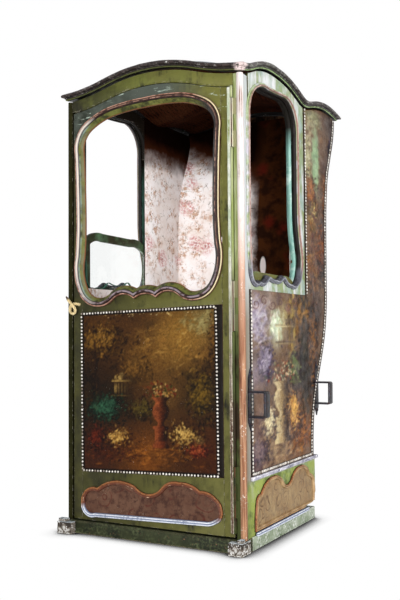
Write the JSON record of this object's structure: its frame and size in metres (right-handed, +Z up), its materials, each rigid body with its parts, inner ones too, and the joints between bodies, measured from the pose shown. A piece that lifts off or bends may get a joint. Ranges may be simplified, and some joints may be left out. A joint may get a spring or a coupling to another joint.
{
  "type": "sedan chair",
  "caption": "Enclosed wooden carrying chair with one hinged door, glazed side windows, iron pole brackets and a domed roof that lifts on rear hinges.",
  "frame": {"origin": "centre of the bounding box on the floor", "axes": "+X to the right seen from the front, +Y from the door towards the back, +Z up"},
  "size_m": [0.796, 0.94, 1.6375],
  "materials": {
    "green_paint": "old olive-green oil paint, matt, chipped and worn pale along the edges",
    "painted_leather": "oil-painted leather, darkened varnish, fine cracks",
    "bare_wood": "unpainted old softwood, matt",
    "carved_wood": "carved wood with worn pale paint",
    "cotton_lining": "printed off-white cotton with faded sprigs",
    "cushion_cloth": "same cotton as the lining",
    "window_glass": "thin old clear glass",
    "carved_moulding": "carved moulding, brown bole over worn pale ground",
    "black_iron": "forged iron, black, dull",
    "cornice_paint": "dark brown paint, worn grey",
    "roof_covering": "grey painted canvas covering, weathered",
    "rope": "natural twisted rope"
  },
  "bodies": {
    "cabin": {"base_side_rails": "green_paint", "base_rear_rail": "bare_wood", "front_sill": "green_paint", "front_corner_blocks": "carved_wood", "floor_board": "bare_wood", "front_posts": "green_paint", "rear_post_left": "bare_wood", "rear_post_right": "bare_wood", "side_top_rails": "green_paint", "side_mid_stiles": "green_paint", "side_sill_rails": "green_paint", "front_header": "green_paint", "rear_header": "painted_leather", "side_panel_left": "painted_leather", "side_panel_right": "painted_leather", "side_apron_left": "green_paint", "side_apron_right": "green_paint", "back_panel": "painted_leather", "back_lining": "cotton_lining", "back_apron": "green_paint", "apron_ledge": "carved_moulding", "side_linings": "cotton_lining", "seat_board": "bare_wood", "seat_riser": "bare_wood", "seat_cushion": "cushion_cloth", "side_sashes": "green_paint", "sash_glass": "window_glass", "side_window_mouldings": "carved_moulding", "side_cartouches": "carved_moulding", "pole_bracket_front": "black_iron", "pole_brackets_rear": "black_iron", "door_hinges_post": "black_iron", "lid_hinges_cabin": "black_iron"},
    "door": {"door_stiles": "green_paint", "door_top_rail": "green_paint", "door_mid_rail": "green_paint", "door_panel": "painted_leather", "door_apron": "green_paint", "door_lining": "cotton_lining", "door_window_moulding": "carved_moulding", "door_cartouche": "carved_moulding", "rope_tie": "rope", "door_hinges_door": "black_iron"},
    "roof": {"lid_hinges_lid": "black_iron", "cornice_front": "cornice_paint", "cornice_rear": "cornice_paint", "cornice_sides": "cornice_paint", "roof_shell": "roof_covering"}
  },
  "joints": [
    {"name": "door_hinge", "type": "hinge", "parent": "cabin", "child": "door", "pos_m": [0.307, -0.438, 0.8], "axis": [0, 0, 1], "range_deg": [0, 110]},
    {"name": "lid_hinge", "type": "hinge", "parent": "cabin", "child": "roof", "pos_m": [0, 0.448, 1.533], "axis": [-1, 0, 0], "range_deg": [0, 60]}
  ]
}
